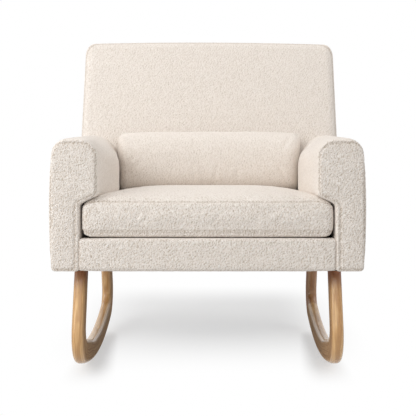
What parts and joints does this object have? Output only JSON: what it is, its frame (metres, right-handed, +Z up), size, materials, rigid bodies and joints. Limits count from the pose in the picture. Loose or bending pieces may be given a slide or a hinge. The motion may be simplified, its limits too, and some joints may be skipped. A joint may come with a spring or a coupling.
{
  "type": "upholstered rocking chair",
  "caption": "Boxed armchair in looped cream fabric with a loose seat cushion and lumbar pillow, on two bent-wood rocker loops.",
  "frame": {"origin": "centre of the chair's box in plan, on the floor under the runners", "axes": "+Z up, -Y the way the sitter faces, +X to the right of someone who looks at the chair from its front"},
  "size_m": [0.806, 0.7876, 0.9211],
  "materials": {
    "rocker_wood": "satin",
    "frame_wood": "matte",
    "hardboard": "matte",
    "looped_fabric": "matte",
    "foam": "matte",
    "fibre": "matte",
    "deck_cloth": "matte",
    "felt": "matte",
    "webbing": "matte",
    "dust_cloth": "matte",
    "spring_steel": "satin",
    "zinc": "satin"
  },
  "bodies": {
    "chair": {"runner_left": "rocker_wood", "runner_right": "rocker_wood", "front_leg_left": "rocker_wood", "front_leg_right": "rocker_wood", "rear_leg_left": "rocker_wood", "rear_leg_right": "rocker_wood", "side_rail_left": "frame_wood", "side_rail_right": "frame_wood", "front_rail": "frame_wood", "seat_rail": "frame_wood", "rear_rail": "frame_wood", "corner_blocks": "frame_wood", "arm_post_left": "frame_wood", "arm_post_right": "frame_wood", "arm_rail_left": "frame_wood", "arm_rail_right": "frame_wood", "back_post_left": "frame_wood", "back_post_right": "frame_wood", "back_top_rail": "frame_wood", "back_lumbar_rail": "frame_wood", "arm_boards_left": "hardboard", "arm_boards_right": "hardboard", "back_board": "hardboard", "seat_springs": "spring_steel", "spring_clips": "spring_steel", "back_webbing_across": "webbing", "back_webbing_upright": "webbing", "deck_felt": "felt", "deck_foam": "foam", "deck_cloth": "deck_cloth", "arm_foam_left": "foam", "arm_foam_right": "foam", "front_rail_foam": "foam", "back_foam": "foam", "arm_cover_left": "looped_fabric", "arm_cover_right": "looped_fabric", "front_rail_cover": "looped_fabric", "back_cover": "looped_fabric", "outside_back_cover": "looped_fabric", "dust_cover": "dust_cloth", "leg_bolts": "zinc", "leg_washers": "zinc", "leg_inserts": "zinc", "frame_screws": "zinc"},
    "seat_cushion": {"seat_cushion_foam": "foam", "seat_cushion_cover": "looped_fabric"},
    "lumbar_pillow": {"lumbar_pillow_filling": "fibre", "lumbar_pillow_cover": "looped_fabric"}
  },
  "joints": [
    {"name": "seat_cushion_pull", "type": "slide", "parent": "chair", "child": "seat_cushion", "axis": [0, -0.9986, 0.0523], "range_m": [0, 0.45]},
    {"name": "lumbar_pillow_lift", "type": "slide", "parent": "chair", "child": "lumbar_pillow", "axis": [0, 0, 1], "range_m": [0, 0.3]}
  ]
}
